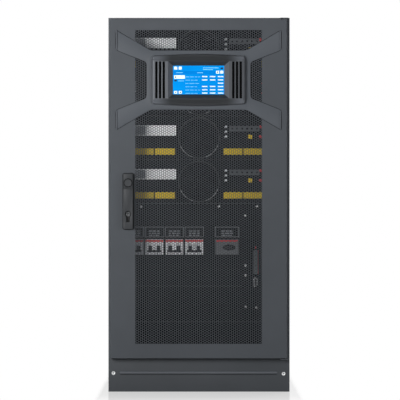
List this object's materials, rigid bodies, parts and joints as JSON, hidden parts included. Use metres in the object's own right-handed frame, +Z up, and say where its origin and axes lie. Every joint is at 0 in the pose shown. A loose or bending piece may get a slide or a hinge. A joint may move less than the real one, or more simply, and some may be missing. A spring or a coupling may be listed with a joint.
{
  "type": "modular UPS cabinet",
  "caption": "Graphite floor-standing modular UPS cabinet with a perforated door, touch screen, swing handle, fan-cooled power modules and a breaker panel behind the door.",
  "frame": {"origin": "on the floor under the middle of the cabinet's width and nominal depth", "axes": "+Z up, the door faces -Y, +X to the right as seen from the front"},
  "size_m": [0.55, 0.79, 1.135],
  "materials": {
    "cabinet_paint": "fine-textured graphite powder coat",
    "door_paint": "fine-textured graphite powder coat",
    "frame_steel": "galvanised sheet steel",
    "module_paint": "dark matt paint",
    "guard_wire": "plated steel wire",
    "fan_plastic": "black moulded plastic",
    "plate_silver": "satin printed plate",
    "status_dark": "dark glossy foil",
    "button_pale": "pale moulded plastic",
    "breaker_white": "white moulded plastic",
    "lever_dark": "dark moulded plastic",
    "terminal_grey": "grey moulded plastic",
    "bezel_plastic": "graphite moulded plastic",
    "screen_glass": "lit touch screen behind glass",
    "handle_plastic": "graphite glass-filled plastic",
    "lock_metal": "dull nickel"
  },
  "bodies": {
    "cabinet": {"plinth_sides": "cabinet_paint", "plinth_rear": "cabinet_paint", "plinth_cover": "cabinet_paint", "left_side_panel": "cabinet_paint", "right_side_panel": "cabinet_paint", "rear_panel": "cabinet_paint", "roof_cover": "cabinet_paint", "floor_pan": "frame_steel", "front_posts": "frame_steel", "rear_posts": "frame_steel", "module_runners": "frame_steel", "pivot_brackets": "frame_steel", "power_module_1": "module_paint", "power_module_2": "module_paint", "power_module_3": "module_paint", "power_module_4": "module_paint", "distribution_panel": "module_paint", "interface_plate": "module_paint", "lower_covers": "module_paint", "fan_guards": "guard_wire", "module_name_plates": "plate_silver", "serial_port": "plate_silver", "module_status_bars": "status_dark", "module_buttons": "button_pale", "breaker_1": "breaker_white", "breaker_2": "breaker_white", "breaker_3": "breaker_white", "breaker_4": "breaker_white", "terminal_strip": "terminal_grey", "bypass_switch": "terminal_grey"},
    "door": {"door_skin": "door_paint", "door_mesh": "door_paint", "display_surround": "door_paint", "display_bezel": "bezel_plastic", "touch_screen": "screen_glass", "display_rear_box": "module_paint", "handle_escutcheon": "handle_plastic", "lock_cylinder": "lock_metal", "door_bushes": "frame_steel"},
    "handle_head": {"handle_head": "handle_plastic"},
    "handle_lever": {"handle_lever": "handle_plastic"},
    "bypass_lever": {"bypass_lever": "lever_dark"},
    "fan_rotor_1": {"fan_rotor_1": "fan_plastic"},
    "breaker_lever_1": {"breaker_lever_1": "lever_dark"},
    "fan_rotor_2": {"fan_rotor_2": "fan_plastic"},
    "breaker_lever_2": {"breaker_lever_2": "lever_dark"},
    "fan_rotor_3": {"fan_rotor_3": "fan_plastic"},
    "breaker_lever_3": {"breaker_lever_3": "lever_dark"},
    "fan_rotor_4": {"fan_rotor_4": "fan_plastic"},
    "breaker_lever_4": {"breaker_lever_4": "lever_dark"}
  },
  "joints": [
    {"name": "door_hinge", "type": "hinge", "parent": "cabinet", "child": "door", "pos_m": [0.2586, -0.37, 0.616], "axis": [0, 0, 1], "range_deg": [0, 120]},
    {"name": "handle_turn", "type": "hinge", "parent": "door", "child": "handle_head", "pos_m": [-0.2145, -0.389, 0.6338], "axis": [0, -1, 0], "range_deg": [0, 90]},
    {"name": "handle_lift", "type": "hinge", "parent": "handle_head", "child": "handle_lever", "pos_m": [-0.2145, -0.39825, 0.6118], "axis": [-1, 0, 0], "range_deg": [0, 35]},
    {"name": "fan_spin_1", "type": "hinge", "parent": "cabinet", "child": "fan_rotor_1", "pos_m": [0, -0.271, 0.63867], "axis": [0, -1, 0], "continuous": true},
    {"name": "fan_spin_2", "type": "hinge", "parent": "cabinet", "child": "fan_rotor_2", "pos_m": [0, -0.271, 0.77202], "axis": [0, -1, 0], "continuous": true},
    {"name": "fan_spin_3", "type": "hinge", "parent": "cabinet", "child": "fan_rotor_3", "pos_m": [0, -0.271, 0.90538], "axis": [0, -1, 0], "continuous": true},
    {"name": "fan_spin_4", "type": "hinge", "parent": "cabinet", "child": "fan_rotor_4", "pos_m": [0, -0.271, 1.03872], "axis": [0, -1, 0], "continuous": true},
    {"name": "breaker_toggle_1", "type": "hinge", "parent": "cabinet", "child": "breaker_lever_1", "pos_m": [-0.197, -0.291, 0.4385], "axis": [-1, 0, 0], "range_deg": [0, 90]},
    {"name": "breaker_toggle_2", "type": "hinge", "parent": "cabinet", "child": "breaker_lever_2", "pos_m": [-0.13615, -0.291, 0.4385], "axis": [-1, 0, 0], "range_deg": [0, 90]},
    {"name": "breaker_toggle_3", "type": "hinge", "parent": "cabinet", "child": "breaker_lever_3", "pos_m": [-0.0753, -0.291, 0.4385], "axis": [-1, 0, 0], "range_deg": [0, 90]},
    {"name": "breaker_toggle_4", "type": "hinge", "parent": "cabinet", "child": "breaker_lever_4", "pos_m": [-0.01445, -0.291, 0.4385], "axis": [-1, 0, 0], "range_deg": [0, 90]},
    {"name": "bypass_toggle", "type": "hinge", "parent": "cabinet", "child": "bypass_lever", "pos_m": [0.0855, -0.291, 0.4385], "axis": [-1, 0, 0], "range_deg": [0, 90]}
  ]
}
